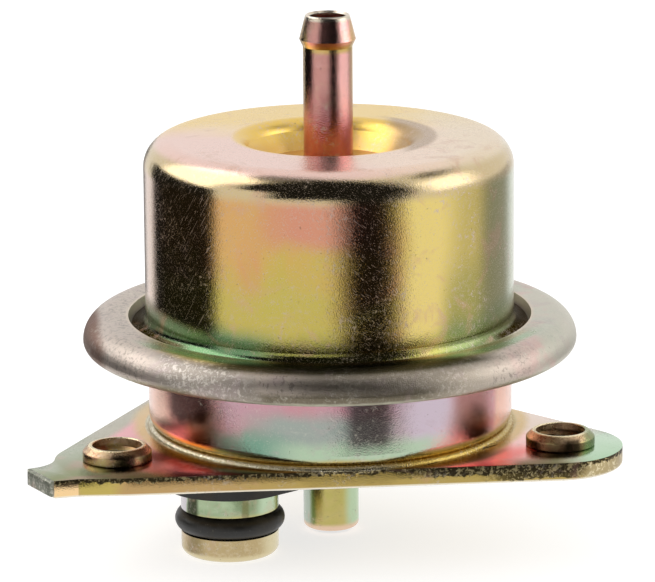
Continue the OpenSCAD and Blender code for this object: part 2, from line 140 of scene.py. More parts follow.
view = {
    "turn": -5.6,       # degrees, to the left of the plate's front
    "lift": 14.5,
    "distance": 600,    # mm
    "lens": 266.46,
    "sensor": 36,       # mm
    "near": 0.01,       # m
    "far": 20,
    "target": (0, 0, 13.1),
    "raise": 5.7,       # the aim lies this much above the target, mm
    "sideways": -0.25,
    "roll": -0.44,
}


def outwards(turn, lift):
    # direction from the part, turned to the right of its front and lifted, in radians
    flat = math.cos(lift)
    return Vector((math.sin(turn) * flat, -math.cos(turn) * flat, math.sin(lift)))


def aimCamera():
    turn, lift = math.radians(view["turn"]), math.radians(view["lift"])
    back = outwards(turn, lift)
    right = Vector((math.cos(turn), math.sin(turn), 0))
    up = back.cross(right)
    target = Vector(view["target"])
    place = target + back * view["distance"]
    aim = target + up * view["raise"] + right * view["sideways"]
    bpy.ops.object.camera_add(location=place * mm)
    camera = bpy.context.object
    camera.name = "photoCamera"
    camera.rotation_mode = "QUATERNION"
    camera.rotation_quaternion = (place - aim).to_track_quat("Z", "Y")
    camera.rotation_mode = "XYZ"
    camera.rotation_euler.rotate_axis("Z", math.radians(view["roll"]))
    camera.data.lens = view["lens"]
    camera.data.sensor_width = view["sensor"]
    camera.data.clip_start = view["near"]
    camera.data.clip_end = view["far"]
    bpy.context.scene.camera = camera


clearSelection()
aimCamera()
print("camera set")


# node helpers for the finishes

def put(tree, kind, sockets=None, **options):
    node = tree.nodes.new(kind)
    for key, value in options.items():
        setattr(node, key, value)
    for key, value in (sockets or {}).items():
        if isinstance(value, bpy.types.NodeSocket):
            tree.links.new(value, node.inputs[key])
        else:
            node.inputs[key].default_value = value
    return node


def noise(tree, where, size, detail=2.0, rough=0.5, twist=0.0):
    # size is the width of a patch in mm
    return put(tree, "ShaderNodeTexNoise", {
        "Vector": where, "Scale": 1 / (size * mm), "Detail": detail,
        "Roughness": rough, "Distortion": twist}).outputs[0]


def span(tree, value, low, high, toLow=0.0, toHigh=1.0):
    # a soft step from low to high
    return put(tree, "ShaderNodeMapRange", {
        "Value": value, "From Min": low, "From Max": high,
        "To Min": toLow, "To Max": toHigh}, interpolation_type="SMOOTHSTEP").outputs[0]


def calc(tree, operation, a, b=0.0):
    return put(tree, "ShaderNodeMath", {0: a, 1: b}, operation=operation).outputs[0]


def tintMix(tree, amount, under, over):
    mix = put(tree, "ShaderNodeMix", {0: amount}, data_type="RGBA")
    for socket, colour in ((6, under), (7, over)):      # the node's two colour sockets
        if isinstance(colour, bpy.types.NodeSocket):
            tree.links.new(colour, mix.inputs[socket])
        else:
            mix.inputs[socket].default_value = (*colour, 1)
    return mix.outputs[2]


def blendTo(tree, amount, under, over):
    return put(tree, "ShaderNodeMix", {0: amount, 2: under, 3: over}).outputs[0]


def ramp(tree, value, stops):
    node = put(tree, "ShaderNodeValToRGB", {0: value})
    marks = node.color_ramp.elements
    while len(marks) < len(stops):
        marks.new(0.5)
    for mark, (place, colour) in zip(marks, stops):
        mark.position = place
        mark.color = (*colour, 1)
    return node.outputs[0]


def startFinish(name):
    finish = bpy.data.materials.new(name)
    finish.use_nodes = True
    tree = finish.node_tree
    where = put(tree, "ShaderNodeTexCoord").outputs["Object"]
    return finish, tree, tree.nodes["Principled BSDF"], where


def coordinates(tree, where):
    # x, y, z and the distance from the housing's axis, in metres
    apart = put(tree, "ShaderNodeSeparateXYZ", {0: where})
    x, y, z = apart.outputs[0], apart.outputs[1], apart.outputs[2]
    flat = put(tree, "ShaderNodeCombineXYZ", {0: x, 1: y})
    reach = put(tree, "ShaderNodeVectorMath", {0: flat.outputs[0]}, operation="LENGTH")
    return {"x": x, "y": y, "z": z, "radius": reach.outputs["Value"]}


def acrossTurning(tree, at):
    # the same all around the axis, as what a lathe leaves
    return put(tree, "ShaderNodeCombineXYZ", {0: at["radius"], 2: at["z"]}).outputs[0]


def bump(tree, height, strength, depth, under=None):
    # depth in mm; under is the relief that this one lies on
    sockets = {"Height": height, "Strength": strength, "Distance": depth * mm}
    if under is not None:
        sockets["Normal"] = under
    return put(tree, "ShaderNodeBump", sockets).outputs[0]


# sizes and depths are in mm, and an edge is where a noise pattern starts and where it is full
coatBasics = {
    "roughness": (0.12, 0.20),
    "glossSize": 3.5,
    "glossEdge": (0.35, 0.70),
    "swaySize": 9,          # of the zones' wandering borders
    "fleckSize": 0.5,
    "fleckEdge": (0.50, 0.62),
    "clouds": 0.3,
    "cloudSize": 5,
    "cloudEdge": (0.54, 0.70),
    "cloudTint": (0.55, 0.38, 0.28),
    "worn": 0.5,            # dull specks, which lie in patches
    "wornTint": (0.66, 0.58, 0.50),
    "wornRough": 0.42,
    "wornMetal": 0.6,
    "patchSize": 7,
    "patchEdge": (0.46, 0.62),
    "speckSize": 0.55,
    "speckEdge": (0.52, 0.66),
    "hairs": 0,             # thin scratches
    "hairWidth": 0.07,
    "hairEdge": (0.73, 0.77),
    "hairWays": [((0.5, 0.3, 0.2), 2.6), ((-0.3, -0.8, 0.4), 2.0)],     # lean and length
    "pits": 0.5,
    "pitSize": 0.3,
    "pitEdge": (0.27, 0.22),
    "pitTint": (0.10, 0.08, 0.05),
    "grain": 0.5,
    "grainSize": 0.13,
    "grainDepth": 0.05,
    "wave": 0.04,
    "waveSize": 6,
    "waveDepth": 0.5,
    "rings": 0,             # turning marks
    "ringSize": 0.35,
    "ringDepth": 0.06,
}


def zoneAmount(tree, where, at, zone, look):
    # a zone grows along an axis or a direction, may wander, and only lies where its limits let it
    if isinstance(zone["by"], str):
        value = at[zone["by"]]
    else:
        value = put(tree, "ShaderNodeVectorMath", {0: where, 1: zone["by"]},
                    operation="DOT_PRODUCT").outputs["Value"]
    if "wander" in zone:
        swaySize = zone.get("swaySize", look["swaySize"])
        sway = calc(tree, "SUBTRACT", noise(tree, where, swaySize, detail=3), 0.5)     # both ways
        value = calc(tree, "ADD", value, calc(tree, "MULTIPLY", sway, zone["wander"] * mm))
    amount = span(tree, value, zone["from"] * mm, zone["to"] * mm, 0, zone.get("share", 1))
    for axis, low, high in zone.get("only", []):
        amount = calc(tree, "MULTIPLY", amount, span(tree, at[axis], low * mm, high * mm))
    return amount


def strokes(tree, where, look, lean, length):
    # thin scratches, all leaning one way
    width = look["hairWidth"] * mm
    along = put(tree, "ShaderNodeMapping", {
        "Vector": where, "Rotation": lean, "Scale": (width, width, length * mm)},
        vector_type="TEXTURE")
    thin = put(tree, "ShaderNodeTexNoise", {"Vector": along.outputs[0], "Scale": 1, "Detail": 0})
    return span(tree, thin.outputs[0], *look["hairEdge"])


def bareMetal(tree, where, look):
    # worn specks in patches, and hair scratches
    patch = noise(tree, where, look["patchSize"], detail=4, rough=0.6)
    speck = noise(tree, where, look["speckSize"], detail=4, rough=0.75, twist=0.5)
    patch, speck = span(tree, patch, *look["patchEdge"]), span(tree, speck, *look["speckEdge"])
    bare = calc(tree, "MULTIPLY", calc(tree, "MULTIPLY", patch, speck), look["worn"])
    if look["hairs"]:
        first, second = (strokes(tree, where, look, *way) for way in look["hairWays"])
        hair = calc(tree, "MAXIMUM", first, second)
        bare = calc(tree, "MAXIMUM", bare, calc(tree, "MULTIPLY", hair, look["hairs"]))
    return bare


def zincCoat(name, look):
    # iridescent zinc plating: drifting tints, zones, clouds, bare metal, pits and a fine grain
    look = {**coatBasics, **look}
    finish, tree, shader, where = startFinish(name)
    at = coordinates(tree, where)
    drift = noise(tree, where, look["drift"], detail=3, rough=0.55, twist=0.6)
    colour = ramp(tree, drift, look["tints"])
    sheen = noise(tree, where, look["glossSize"], detail=4, rough=0.6)
    gloss = span(tree, sheen, *look["glossEdge"], *look["roughness"])
    grit, rimLight = look["grain"], 1.0
    for zone in look["zones"]:
        amount = zoneAmount(tree, where, at, zone, look)
        tint = zone.get("tint", colour)
        if "fleck" in zone:
            broken = noise(tree, where, look["fleckSize"], detail=3, rough=0.7, twist=0.6)
            tint = tintMix(tree, span(tree, broken, *look["fleckEdge"]), tint, zone["fleck"])
        colour = tintMix(tree, amount, colour, tint)
        if "rough" in zone:
            gloss = blendTo(tree, amount, gloss, zone["rough"])
        if "grain" in zone:
            grit = blendTo(tree, amount, grit, zone["grain"])
        if "rimLight" in zone:
            rimLight = blendTo(tree, amount, rimLight, zone["rimLight"])
    if rimLight != 1:       # the metal pales less at a low angle
        tree.links.new(rimLight, shader.inputs["Specular Tint"])
    cloud = noise(tree, where, look["cloudSize"], detail=4, rough=0.65, twist=1.0)
    cloud = span(tree, cloud, *look["cloudEdge"], 0, look["clouds"])
    colour = tintMix(tree, cloud, colour, look["cloudTint"])
    bare = bareMetal(tree, where, look)
    colour = tintMix(tree, bare, colour, look["wornTint"])
    gloss = blendTo(tree, bare, gloss, look["wornRough"])
    tree.links.new(span(tree, bare, 0, 1, 1, look["wornMetal"]), shader.inputs["Metallic"])
    pit = noise(tree, where, look["pitSize"], detail=1)
    pit = span(tree, pit, *look["pitEdge"], 0, look["pits"])
    colour = tintMix(tree, pit, colour, look["pitTint"])
    tree.links.new(colour, shader.inputs["Base Color"])
    tree.links.new(gloss, shader.inputs["Roughness"])
    # relief: the sheet's grain, its slow waves, and turning marks
    grain = noise(tree, where, look["grainSize"], detail=1)
    relief = bump(tree, grain, grit, look["grainDepth"])
    wave = noise(tree, where, look["waveSize"])
    relief = bump(tree, wave, look["wave"], look["waveDepth"], relief)
    if look["rings"]:
        turned = noise(tree, acrossTurning(tree, at), look["ringSize"], rough=0.6)
        relief = bump(tree, turned, look["rings"], look["ringDepth"], relief)
    tree.links.new(relief, shader.inputs["Normal"])
    return finish


def dress(finish, *names):
    for name in names:
        slots = nodes[name].data.materials
        slots.clear()
        slots.append(finish)


# upper housing: gold cup, rose high up in front, green towards its foot, pale on top

cupLook = {
    "drift": 13,
    "tints": [(0.30, (0.56, 0.43, 0.10)), (0.44, (0.62, 0.40, 0.12)), (0.56, (0.64, 0.34, 0.14)),
              (0.70, (0.57, 0.43, 0.10))],
    "zones": [
        # wall
        {"by": "z", "from": 27.5, "to": 31.5, "tint": (0.64, 0.27, 0.19), "share": 0.9, "wander": 6,
         "only": [("x", -12, -6), ("x", 6, 1)]},
        {"by": "z", "from": 26, "to": 30, "tint": (0.66, 0.38, 0.14), "share": 0.8, "wander": 6,
         "only": [("x", -9, -13)]},
        {"by": "z", "from": 28, "to": 22, "tint": (0.52, 0.44, 0.10), "share": 0.9, "wander": 7,
         "only": [("x", 4, -4)]},
        {"by": "x", "from": 5, "to": 8.5, "tint": (0.78, 0.61, 0.20), "wander": 3},
        {"by": "x", "from": 11.0, "to": 15.0, "tint": (0.52, 0.41, 0.12), "wander": 2.5},
        {"by": "z", "from": 29, "to": 20, "tint": (0.30, 0.29, 0.08), "share": 0.85, "wander": 6,
         "only": [("x", 10.5, 13.5)]},
        {"by": "x", "from": 16.0, "to": 18.8, "tint": (0.36, 0.34, 0.16), "wander": 1.5},
        {"by": "x", "from": 20.0, "to": 21.6, "tint": (0.56, 0.60, 0.44), "wander": 0.8},
        {"by": "x", "from": -20.6, "to": -22.2, "tint": (0.70, 0.52, 0.42), "wander": 0.8},
        # foot of the wall
        {"by": "z", "from": 19.5, "to": 16.2, "tint": (0.30, 0.30, 0.07), "share": 0.85,
         "wander": 4},
        {"by": "z", "from": 20.5, "to": 17.6, "tint": (0.10, 0.24, 0.13), "share": 0.85,
         "wander": 3, "only": [("x", -7, -12)]},
        {"by": "z", "from": 21, "to": 18, "tint": (0.20, 0.26, 0.11), "share": 0.85, "wander": 3,
         "only": [("x", 10, 14)]},
        # flange, and painted shade in the recess above it on both sides
        {"by": "radius", "from": 23.3, "to": 23.9, "tint": (0.36, 0.24, 0.11)},
        *[{"by": "x", "from": 14 * side, "to": 17 * side, "tint": (0.06, 0.045, 0.02),
           "share": 0.95, "wander": 3, "rimLight": 0.3,
           "only": [("radius", 22.75, 23.1), ("y", -15, -12)]} for side in (-1, 1)],
        # finer grain on the left
        {"by": "x", "from": -5, "to": -10, "grain": 0.25},
        # crown and top
        {"by": "z", "from": 34.4, "to": 36.0, "tint": (0.61, 0.48, 0.27), "wander": 1.2},
        {"by": "z", "from": 37.6, "to": 38.3, "tint": (0.82, 0.62, 0.48), "wander": 0.5,
         "rough": 0.26},
        {"by": (-0.8, -0.6, 0), "from": 4, "to": 14, "tint": (0.80, 0.54, 0.48), "share": 0.8,
         "wander": 8, "only": [("z", 37.4, 38.2)]},
        {"by": "y", "from": 0, "to": 10, "tint": (0.82, 0.58, 0.15), "share": 0.9, "wander": 8,
         "only": [("z", 37.2, 38)]},
        {"by": "x", "from": 10, "to": 17, "tint": (0.76, 0.64, 0.44), "share": 0.7, "wander": 10,
         "swaySize": 6, "only": [("z", 37.2, 38)]},
        # dimple
        {"by": "radius", "from": 12.2, "to": 11.2, "tint": (0.80, 0.54, 0.12), "grain": 0.3,
         "rough": 0.3, "only": [("z", 33.0, 34.0)]},
        {"by": "z", "from": 37.6, "to": 35.6, "tint": (0.66, 0.38, 0.10), "share": 0.8, "wander": 1,
         "only": [("radius", 11.8, 11.0)]},
        {"by": "x", "from": 7, "to": 9.5, "tint": (0.36, 0.23, 0.12), "share": 0.85, "wander": 2,
         "swaySize": 4, "only": [("radius", 13.8, 12.8), ("z", 33.0, 34.0)]},
    ],
    "clouds": 0.45,
    "cloudTint": (0.60, 0.36, 0.25),
    "worn": 0.65,
    "wornTint": (0.68, 0.55, 0.49),
    "hairs": 0.6,
    "roughness": (0.07, 0.13),
    "grain": 0.4,
}
dress(zincCoat("goldPlating", cupLook), "upper_housing")

# vacuum nipple: rose tube, gold towards its ends

nippleLook = {
    "drift": 5,
    "tints": [(0.35, (0.52, 0.25, 0.21)), (0.50, (0.56, 0.28, 0.25)), (0.65, (0.52, 0.31, 0.24))],
    "zones": [
        # painted highlight: a bright pink band down the right side
        {"by": "x", "from": 0.6, "to": 1.5, "tint": (0.86, 0.46, 0.42), "wander": 0.8,
         "swaySize": 3},
        {"by": "x", "from": 2.2, "to": 2.9, "tint": (0.62, 0.42, 0.16), "wander": 0.4,
         "swaySize": 3, "share": 0.8},
        {"by": "x", "from": -2.5, "to": -2.9, "tint": (0.50, 0.36, 0.14), "wander": 0.4,
         "swaySize": 3, "share": 0.8},
        {"by": "z", "from": 50.6, "to": 49.9, "tint": (0.62, 0.42, 0.14),
         "only": [("z", 49.0, 49.7)]},
        # painted reflection of the dimple: redder towards the foot
        {"by": "z", "from": 45, "to": 38, "tint": (0.60, 0.20, 0.25), "wander": 2, "swaySize": 3},
        {"by": "z", "from": 53.0, "to": 53.4, "tint": (0.72, 0.62, 0.50)},
    ],
    "clouds": 0.35,
    "cloudSize": 2,
    "cloudTint": (0.56, 0.42, 0.28),
    "worn": 0.45,
    "roughness": (0.10, 0.17),
    "grain": 0.6,
    "wave": 0,
}
dress(zincCoat("rosePlating", nippleLook), "vacuum_nipple")

# lower housing: wall from rose over grey to mint at its foot, satin rim

lowerLook = {
    "drift": 12,
    "tints": [(0.32, (0.56, 0.27, 0.30)), (0.48, (0.54, 0.32, 0.37)), (0.62, (0.60, 0.33, 0.33))],
    "zones": [
        # wall
        {"by": "x", "from": 4, "to": 9, "tint": (0.58, 0.48, 0.55), "wander": 4},
        {"by": "x", "from": 11, "to": 17, "tint": (0.66, 0.32, 0.34), "wander": 4},
        {"by": "z", "from": 10.2, "to": 7.8, "tint": (0.34, 0.38, 0.34), "wander": 3,
         "only": [("x", -15, -8), ("x", 9, 1)]},
        {"by": "z", "from": 7.6, "to": 5.0, "tint": (0.16, 0.34, 0.24), "wander": 3, "swaySize": 5,
         "share": 0.9, "only": [("x", -4, -11), ("x", -19, -14)]},
        {"by": "z", "from": 6.6, "to": 4.6, "tint": (0.44, 0.58, 0.40), "wander": 2, "swaySize": 5,
         "share": 0.9, "only": [("x", -11, -5), ("x", 15, 8)]},
        {"by": "x", "from": 12.0, "to": 14.5, "tint": (0.34, 0.15, 0.13), "share": 0.85,
         "wander": 2, "only": [("x", 19.0, 17.0)]},
        {"by": "x", "from": -15, "to": -18, "tint": (0.78, 0.30, 0.24), "wander": 4, "swaySize": 5,
         "share": 0.9},
        {"by": "x", "from": -19.8, "to": -21.4, "tint": (0.84, 0.50, 0.38), "wander": 1.2},
        {"by": "x", "from": 18.4, "to": 19.4, "tint": (0.92, 0.52, 0.40), "wander": 1.2},
        # painted shade: the wall's dark reflections carried up to the rim's shadow, at the left and
        # in front
        {"by": "z", "from": 5.4, "to": 7.2, "tint": (0.06, 0.026, 0.022), "wander": 2,
         "swaySize": 4, "share": 0.9, "only": [("x", -21.3, -20.0), ("x", -15.2, -17.0)]},
        {"by": "z", "from": 4.2, "to": 6.4, "tint": (0.09, 0.07, 0.065), "wander": 2.5,
         "swaySize": 3, "share": 0.85, "only": [("x", -1.0, 1.0), ("x", 6.0, 4.0)]},
        {"by": "z", "from": 5.2, "to": 3.4, "tint": (0.30, 0.40, 0.26), "wander": 1.5,
         "swaySize": 5, "share": 0.7, "only": [("x", 9, 14)]},
        {"by": "z", "from": 3.9, "to": 3.0, "tint": (0.52, 0.36, 0.10), "wander": 0.6,
         "swaySize": 4, "only": [("radius", 23, 22.4)]},
        # rim
        {"by": "radius", "from": 23.4, "to": 24.0, "tint": (0.54, 0.46, 0.39), "rough": 0.34,
         "grain": 1.0, "fleck": (0.32, 0.27, 0.23)},
        {"by": "x", "from": -9, "to": -1, "tint": (0.37, 0.32, 0.25), "wander": 8, "share": 0.85,
         "fleck": (0.56, 0.49, 0.41), "only": [("radius", 24, 25), ("y", -16, -22), ("x", 20, 12)]},
        {"by": "z", "from": 14.4, "to": 13.4, "tint": (0.13, 0.11, 0.07), "wander": 0.8,
         "swaySize": 4, "share": 0.85, "only": [("radius", 25, 28), ("x", -17, -11), ("x", 13, 7)]},
        {"by": "x", "from": -22, "to": -27, "tint": (0.56, 0.47, 0.41), "wander": 14, "swaySize": 6,
         "share": 0.85, "fleck": (0.38, 0.32, 0.28), "only": [("radius", 26, 28)]},
        {"by": "x", "from": -28.0, "to": -29.2, "tint": (0.28, 0.16, 0.12), "wander": 1.5,
         "share": 0.9, "rimLight": 0.5},
        {"by": "x", "from": -10, "to": -14, "tint": (0.32, 0.28, 0.24), "wander": 5, "swaySize": 3,
         "share": 0.9, "fleck": (0.62, 0.56, 0.50),
         "only": [("radius", 24, 25), ("y", -14, -19), ("x", -25, -21)]},
        {"by": "x", "from": 20, "to": 26, "tint": (0.64, 0.46, 0.41), "wander": 22, "swaySize": 6,
         "share": 0.85, "only": [("radius", 24, 25)]},
        {"by": "x", "from": 21, "to": 26, "tint": (0.52, 0.58, 0.46), "wander": 24, "swaySize": 4,
         "share": 0.6, "only": [("radius", 24, 25)]},
        # inside the rim's fold
        # painted reflection of the cup: darker green on the fold's inner margin in front
        {"by": "radius", "from": 28.0, "to": 26.8, "tint": (0.25, 0.35, 0.18), "rough": 0.18,
         "grain": 0.5, "wander": 1.6, "only": [("z", 15.4, 15.9), ("y", -10, -15)]},
        {"by": "y", "from": -22, "to": -25, "tint": (0.04, 0.04, 0.015), "share": 0.9, "wander": 1,
         "rimLight": 0.4, "only": [("z", 15.2, 15.6), ("radius", 29.6, 28.7)]},
        # painted shade in the recess at the front of the fold
        {"by": "radius", "from": 26.4, "to": 25.6, "tint": (0.40, 0.29, 0.13), "share": 0.8,
         "wander": 0.8, "only": [("z", 15.2, 15.6), ("y", -10, -15)]},
        # painted highlight along the lip's edge
        {"by": "radius", "from": 25.4, "to": 24.9, "tint": (0.66, 0.56, 0.44),
         "only": [("z", 15.2, 15.6)]},
        # under the rim
        {"by": "z", "from": 12.9, "to": 12.4, "tint": (0.56, 0.54, 0.42), "wander": 0.4,
         "swaySize": 2, "only": [("radius", 25, 28)]},
    ],
    "cloudTint": (0.46, 0.34, 0.36),
    "wornTint": (0.70, 0.66, 0.56),
    "hairs": 0.25,
    "roughness": (0.06, 0.10),
    "grain": 0.45,
}
dress(zincCoat("rimPlating", lowerLook), "lower_housing")

# return tube and inlet spigot: mint and gold

tubeLook = {
    "drift": 6,
    "tints": [(0.35, (0.46, 0.41, 0.12)), (0.55, (0.50, 0.42, 0.15)), (0.70, (0.42, 0.40, 0.16))],
    "zones": [
        {"by": "x", "from": 1.0, "to": 2.4, "tint": (0.46, 0.58, 0.38), "wander": 0.8,
         "swaySize": 4},
        {"by": "x", "from": -1.9, "to": -2.5, "tint": (0.16, 0.22, 0.07), "wander": 0.8,
         "swaySize": 4},
        {"by": "x", "from": -2.5, "to": -3.0, "tint": (0.40, 0.46, 0.38), "wander": 0.3,
         "swaySize": 4},
        {"by": "z", "from": -9.9, "to": -10.6, "tint": (0.74, 0.53, 0.38), "wander": 0.4,
         "swaySize": 3},
    ],
    "clouds": 0.35,
    "cloudSize": 3,
    "worn": 0.45,
    "roughness": (0.14, 0.24),
    "rings": 0.1,
}
dress(zincCoat("olivePlating", tubeLook), "return_tube")

spigotLook = {
    "drift": 6,
    "tints": [(0.32, (0.22, 0.28, 0.15)), (0.50, (0.28, 0.36, 0.21)), (0.66, (0.42, 0.52, 0.33))],
    "zones": [
        {"by": "x", "from": -10.8, "to": -9.4, "tint": (0.48, 0.60, 0.41), "wander": 0.8,
         "swaySize": 3},
        {"by": "z", "from": -5.2, "to": -6.0, "tint": (0.54, 0.48, 0.20), "wander": 0.8,
         "swaySize": 4},
        {"by": "x", "from": -18.6, "to": -18.9, "tint": (0.58, 0.54, 0.56), "wander": 0.4,
         "swaySize": 3},
        # painted dark reflections: two narrow streaks, one near the left edge and one just right of
        # the middle
        {"by": "x", "from": -18.8, "to": -18.5, "tint": (0.05, 0.06, 0.03), "wander": 0.5,
         "swaySize": 3, "only": [("x", -17.3, -17.8)]},
        {"by": "x", "from": -12.4, "to": -12.0, "tint": (0.20, 0.20, 0.08), "wander": 0.8,
         "swaySize": 3, "share": 0.8, "only": [("x", -11.2, -11.6)]},
        {"by": "z", "from": -8.0, "to": -8.6, "tint": (0.48, 0.37, 0.19), "wander": 0.4,
         "swaySize": 4, "fleck": (0.55, 0.44, 0.26)},
        {"by": "x", "from": -16.4, "to": -18.0, "tint": (0.22, 0.17, 0.08), "wander": 1.2,
         "swaySize": 3, "share": 0.8, "only": [("z", -8.1, -8.5), ("x", -19.1, -18.4)]},
        {"by": "x", "from": -10.5, "to": -8.5, "tint": (0.68, 0.60, 0.38), "wander": 1.5,
         "swaySize": 3, "share": 0.9, "only": [("z", -8.1, -8.5)]},
        {"by": "z", "from": -10.4, "to": -10.9, "tint": (0.66, 0.56, 0.34), "wander": 0.4,
         "swaySize": 3},
    ],
    "clouds": 0.35,
    "cloudSize": 3,
    "roughness": (0.12, 0.22),
    "rings": 0.1,
}
dress(zincCoat("mintPlating", spigotLook), "inlet_spigot")
print("plated nodes dressed")


# rubber seals

rubberLook = {
    "dark": (0.010, 0.009, 0.007),
    "worn": (0.036, 0.031, 0.023),
    "wornSize": 3,
    "wornEdge": (0.45, 0.75),
    "glossEdge": (0.3, 0.7),
    "roughness": (0.34, 0.55),
    "dust": 0.35,
    "dustSize": 0.25,
    "dustEdge": (0.64, 0.74),
    "dustTint": (0.16, 0.15, 0.12),
    "skin": 0.15,
    "skinSize": 0.3,
    "skinDepth": 0.05,
}


def rubber(name, look):
    finish, tree, shader, where = startFinish(name)
    cloud = noise(tree, where, look["wornSize"], detail=4, rough=0.6)
    colour = tintMix(tree, span(tree, cloud, *look["wornEdge"]), look["dark"], look["worn"])
    dust = noise(tree, where, look["dustSize"], rough=0.6)
    dust = span(tree, dust, *look["dustEdge"], 0, look["dust"])
    colour = tintMix(tree, dust, colour, look["dustTint"])
    tree.links.new(colour, shader.inputs["Base Color"])
    gloss = span(tree, cloud, *look["glossEdge"], *look["roughness"])
    tree.links.new(gloss, shader.inputs["Roughness"])
    skin = noise(tree, where, look["skinSize"], detail=3, rough=0.6)
    tree.links.new(bump(tree, skin, look["skin"], look["skinDepth"]), shader.inputs["Normal"])
    return finish


sealRubber = rubber("sealRubber", rubberLook)
dress(sealRubber, "inlet_o_ring", "port_gasket")


# steel inside: turned rings on the plain parts, drawn wire on the springs

steelBasics = {
    "ringEdge": (0.3, 0.7),
    "ringRelief": 0.12,
    "ringDepth": 0.03,
    "stain": 0.5,
    "stainSize": 4,
    "stainEdge": (0.55, 0.8),
    "stainTint": (0.30, 0.26, 0.20),
    "glossEdge": (0.3, 0.7),
}
steelLook = {
    **steelBasics,
    "light": (0.62, 0.62, 0.63),
    "dark": (0.38, 0.38, 0.40),
    "ringSize": 0.18,
    "roughness": (0.22, 0.38),
}
wireLook = {
    **steelBasics,
    "light": (0.36, 0.37, 0.40),
    "dark": (0.17, 0.17, 0.19),
    "ringSize": 0.5,
    "roughness": (0.28, 0.45),
}


def turnedSteel(name, look):
    finish, tree, shader, where = startFinish(name)
    around = acrossTurning(tree, coordinates(tree, where))
    rings = noise(tree, around, look["ringSize"], detail=3, rough=0.7)
    stain = noise(tree, where, look["stainSize"], detail=3, rough=0.6)
    colour = tintMix(tree, span(tree, rings, *look["ringEdge"]), look["dark"], look["light"])
    stained = span(tree, stain, *look["stainEdge"], 0, look["stain"])
    colour = tintMix(tree, stained, colour, look["stainTint"])
    tree.links.new(colour, shader.inputs["Base Color"])
    shader.inputs["Metallic"].default_value = 1
    gloss = span(tree, stain, *look["glossEdge"], *look["roughness"])
    tree.links.new(gloss, shader.inputs["Roughness"])
    marks = bump(tree, rings, look["ringRelief"], look["ringDepth"])
    tree.links.new(marks, shader.inputs["Normal"])
    return finish


dress(turnedSteel("turnedSteel", steelLook),
      "valve_seat", "spring_plate", "diaphragm_washer", "valve_holder", "valve_ball", "valve_plate")
springWire = turnedSteel("springWire", wireLook)
dress(springWire, "ball_retainer")
print("seals and inner steel dressed")


# mounting plate: the node's outline with a closer bead, its edge rolled over below and torn above

plate = {
    "thickness": 2.3,
    "lowRound": (0.45, 4),      # size and steps
    "topRound": (0.12, 2),
    "slack": 0.005,             # a point this near to a level lies on it
    "bushes": [(26.8, -13.8), (-6.3, 28.4), (-27.3, -13.8)],
    "inlet": (-13.286, -7.983),
    "inside": 21.6,             # nothing inside this radius is rounded
    "holes": 5.2,               # nor closer than this to a hole's centre
    "tongueEnd": 41.3,          # along the tongue from the axis
    "square": 0.99,             # how squarely the end face looks along the tongue
    "swell": [(0.16, 1.03), (0.17, 0.95), (0.10, 0.89), (0.05, 0.72)],     # step out, then scale
    "droop": -0.05,             # with each step
    "bead": (22.05, 0.65),      # radius around the axis, and its own
    "beadLevel": 2.2,
    "beadSides": (180, 24),
    "smoothAngle": 36,
}
tongueWay = (-0.9135, -0.4067, 0)     # the tongue's direction, seen from above


def farFromHoles(point):
    flat = Vector((point.x, point.y)) / mm
    near = [*plate["bushes"], plate["inlet"]]
    free = all((flat - Vector(at)).length > plate["holes"] for at in near)
    return free and flat.length > plate["inside"]


def pressFlat(piece):
    # the node's collar goes, and the bead that takes its place lies closer to the wall
    level = plate["thickness"] * mm
    for point in piece.data.vertices:
        point.co.z = min(point.co.z, level)
    editAll(piece)
    bpy.ops.mesh.remove_doubles(threshold=weld)
    bpy.ops.mesh.dissolve_degenerate(threshold=weld)
    bpy.ops.mesh.dissolve_limited(angle_limit=flatAngle)
    objectMode()


def roundEdges(piece, height, size, steps):
    level, slack = height * mm, plate["slack"] * mm
    selectEdges(piece, lambda a, b: all(
        abs(p.z - level) < slack and farFromHoles(p) for p in (a, b)))
    bpy.ops.mesh.bevel(offset=size * mm, segments=steps, affect="EDGES", clamp_overlap=True)
    objectMode()


def swellTongue(piece):
    # the tongue's cropped end bulges a little
    startPicking(piece, "FACE")
    way = Vector(tongueWay)
    ends = [face for face in piece.data.polygons if face.normal.dot(way) > plate["square"]
            and face.center.dot(way) > plate["tongueEnd"] * mm]
    for face in ends:
        face.select = True
    middle = sum((face.center for face in ends), Vector()) / len(ends)
    editMode()
    for out, size in plate["swell"]:
        step = way * out * mm + Vector((0, 0, plate["droop"] * mm))
        middle = middle + step
        bpy.ops.mesh.extrude_region_move(TRANSFORM_OT_translate={"value": step})
        bpy.ops.transform.resize(value=(size, size, size), center_override=middle)
    objectMode()


def addBead(piece):
    around, own = plate["bead"]
    sides, ownSides = plate["beadSides"]
    clearSelection()
    bpy.ops.mesh.primitive_torus_add(
        major_segments=sides, minor_segments=ownSides, major_radius=around * mm,
        minor_radius=own * mm, location=(0, 0, plate["beadLevel"] * mm))
    pick(piece, bpy.context.object)
    bpy.ops.object.join()


def makePlate():
    piece = copyNode("base_plate", "mountingPlate")
    pressFlat(piece)
    roundEdges(piece, 0, *plate["lowRound"])
    roundEdges(piece, plate["thickness"], *plate["topRound"])
    swellTongue(piece)
    addBead(piece)
    smooth(piece, plate["smoothAngle"])
    return piece


